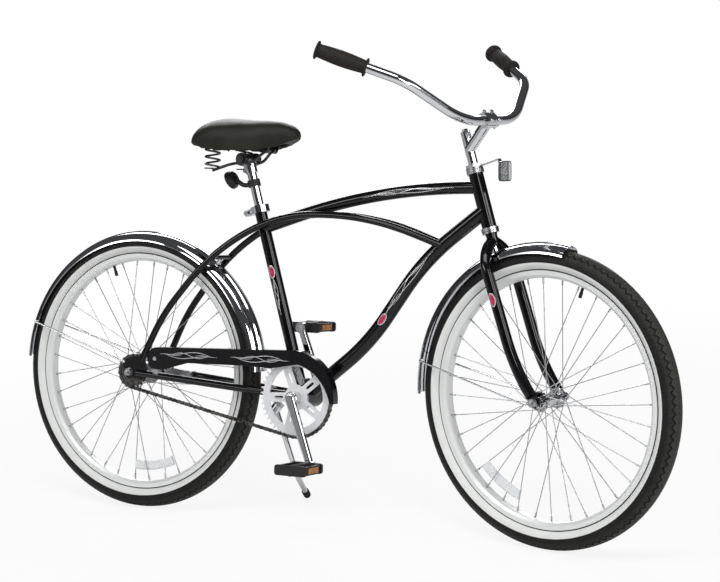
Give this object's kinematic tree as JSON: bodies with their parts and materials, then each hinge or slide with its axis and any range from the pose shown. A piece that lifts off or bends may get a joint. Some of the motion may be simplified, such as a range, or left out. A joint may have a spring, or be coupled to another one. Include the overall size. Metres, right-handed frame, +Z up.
{
  "type": "beach cruiser bicycle",
  "caption": "Single-speed beach cruiser bicycle with bent frame tubes, wide swept bar, sprung saddle, full fenders, chain guard, coaster brake and side stand.",
  "frame": {"origin": "on the ground, under the middle of the parked bicycle's bounding box", "axes": "+X towards the front wheel, +Y to the rider's left, +Z up; the bicycle leans to its left on the side stand"},
  "size_m": [1.7561, 0.6794, 1.1399],
  "materials": {
    "frame_paint": "gloss black enamel",
    "bright_chrome": "polished chrome plate",
    "plain_steel": "zinc plated steel",
    "dark_chain": "oiled dark steel",
    "silver_alloy": "satin silver",
    "tyre_rubber": "black tread with a pale side band",
    "black_rubber": "matte black rubber",
    "black_plastic": "matte black moulded plastic",
    "clear_lens": "clear prismatic plastic",
    "red_lens": "red prismatic plastic",
    "seat_vinyl": "grained dark vinyl"
  },
  "bodies": {
    "frame": {"head_tube": "frame_paint", "top_tube": "frame_paint", "down_tube": "frame_paint", "seat_tube": "frame_paint", "bottom_bracket_shell": "frame_paint", "twin_tubes": "frame_paint", "chain_stays": "frame_paint", "rear_dropouts": "frame_paint", "headset_bearings": "bright_chrome", "bottom_bracket_bearings": "bright_chrome", "seat_clamp": "bright_chrome", "chain_guard": "frame_paint", "guard_fixings": "frame_paint", "rear_fender": "bright_chrome", "rear_fender_fixings": "bright_chrome", "rear_axle": "plain_steel", "brake_arm": "frame_paint", "coaster_brake_shoes": "plain_steel", "chain": "dark_chain", "kickstand_bracket": "bright_chrome"},
    "fork": {"fork_steerer": "bright_chrome", "fork_blades": "frame_paint", "headset_top": "bright_chrome", "front_reflector": "clear_lens", "front_fender": "bright_chrome", "front_fender_fixings": "bright_chrome", "front_axle": "plain_steel"},
    "stem": {"stem": "bright_chrome", "stem_fixings": "bright_chrome"},
    "handlebar": {"handlebar": "bright_chrome", "grip_left": "black_rubber", "grip_right": "black_rubber"},
    "front_wheel": {"front_tyre": "tyre_rubber", "front_inner_tube": "black_rubber", "front_rim": "silver_alloy", "front_spokes": "plain_steel", "front_hub": "bright_chrome", "front_wheel_reflector": "clear_lens"},
    "rear_wheel": {"rear_tyre": "tyre_rubber", "rear_inner_tube": "black_rubber", "rear_rim": "silver_alloy", "rear_spokes": "plain_steel", "rear_hub": "bright_chrome", "rear_wheel_reflector": "clear_lens"},
    "rear_driver": {"rear_sprocket": "plain_steel"},
    "crank": {"crank": "bright_chrome", "chainring": "silver_alloy", "pedal_spindles": "bright_chrome"},
    "pedal_left": {"pedal_left": "black_plastic"},
    "pedal_right": {"pedal_right": "black_plastic"},
    "kickstand": {"kickstand_leg": "bright_chrome", "kickstand_foot": "black_rubber"},
    "seat_post": {"seat_post": "bright_chrome", "rear_reflector": "red_lens", "rear_reflector_mount": "black_plastic"},
    "saddle_carrier": {"saddle_clamp": "bright_chrome", "saddle_frame": "bright_chrome", "saddle_springs": "bright_chrome"},
    "saddle": {"saddle_base": "black_plastic", "saddle_cover": "seat_vinyl"}
  },
  "joints": [
    {"name": "steering", "type": "hinge", "parent": "frame", "child": "fork", "pos_m": [0.39342, -0.0796, 0.69735], "axis": [-0.2974, 0.1609, 0.9411], "range_deg": [-60, 80]},
    {"name": "stem_height", "type": "slide", "parent": "fork", "child": "stem", "axis": [-0.2974, 0.1609, 0.9411], "range_m": [-0.012, 0.03]},
    {"name": "handlebar_tilt", "type": "hinge", "parent": "stem", "child": "handlebar", "pos_m": [0.39136, -0.05189, 0.93423], "axis": [0.1719, 0.9786, -0.113], "range_deg": [-20, 20]},
    {"name": "front_wheel_spin", "type": "hinge", "parent": "fork", "child": "front_wheel", "pos_m": [0.54961, -0.14932, 0.33104], "axis": [0.1719, 0.9786, -0.113], "continuous": true},
    {"name": "rear_wheel_spin", "type": "hinge", "parent": "frame", "child": "rear_wheel", "pos_m": [-0.53408, -0.14238, 0.33005], "axis": [0, 0.9857, -0.1685], "continuous": true},
    {"name": "crank_spin", "type": "hinge", "parent": "frame", "child": "crank", "pos_m": [-0.07175, -0.14794, 0.29752], "axis": [0, 0.9857, -0.1685], "continuous": true, "deforming": ["chain"]},
    {"name": "sprocket_spin", "type": "hinge", "parent": "frame", "child": "rear_driver", "pos_m": [-0.53408, -0.14238, 0.33005], "axis": [0, 0.9857, -0.1685], "continuous": true, "deforming": ["chain"]},
    {"name": "pedal_left_spin", "type": "hinge", "parent": "crank", "child": "pedal_left", "pos_m": [-0.13061, -0.12197, 0.44946], "axis": [0, 0.9857, -0.1685], "continuous": true},
    {"name": "pedal_right_spin", "type": "hinge", "parent": "crank", "child": "pedal_right", "pos_m": [-0.01289, -0.17391, 0.14558], "axis": [0, 0.9857, -0.1685], "continuous": true},
    {"name": "kickstand_swing", "type": "hinge", "parent": "frame", "child": "kickstand", "pos_m": [-0.16208, -0.14021, 0.25967], "axis": [0.5402, 0.3884, 0.7465], "range_deg": [0, 103]},
    {"name": "seat_height", "type": "slide", "parent": "frame", "child": "seat_post", "axis": [-0.284, 0.1616, 0.9451], "range_m": [-0.035, 0.06]},
    {"name": "saddle_tilt", "type": "hinge", "parent": "seat_post", "child": "saddle_carrier", "pos_m": [-0.24256, -0.05505, 0.84096], "axis": [0, 0.9857, -0.1685], "range_deg": [-8, 8]},
    {"name": "saddle_bounce", "type": "hinge", "parent": "saddle_carrier", "child": "saddle", "pos_m": [-0.18408, -0.0514, 0.86233], "axis": [0, 0.9857, -0.1685], "range_deg": [-6, 0], "stiffness_Nm_per_rad": 520, "springref_deg": 1.15, "deforming": ["saddle_springs"]}
  ],
  "couplings": [
    {"joint": "sprocket_spin", "follows": "crank_spin", "ratio": 2.4211}
  ]
}
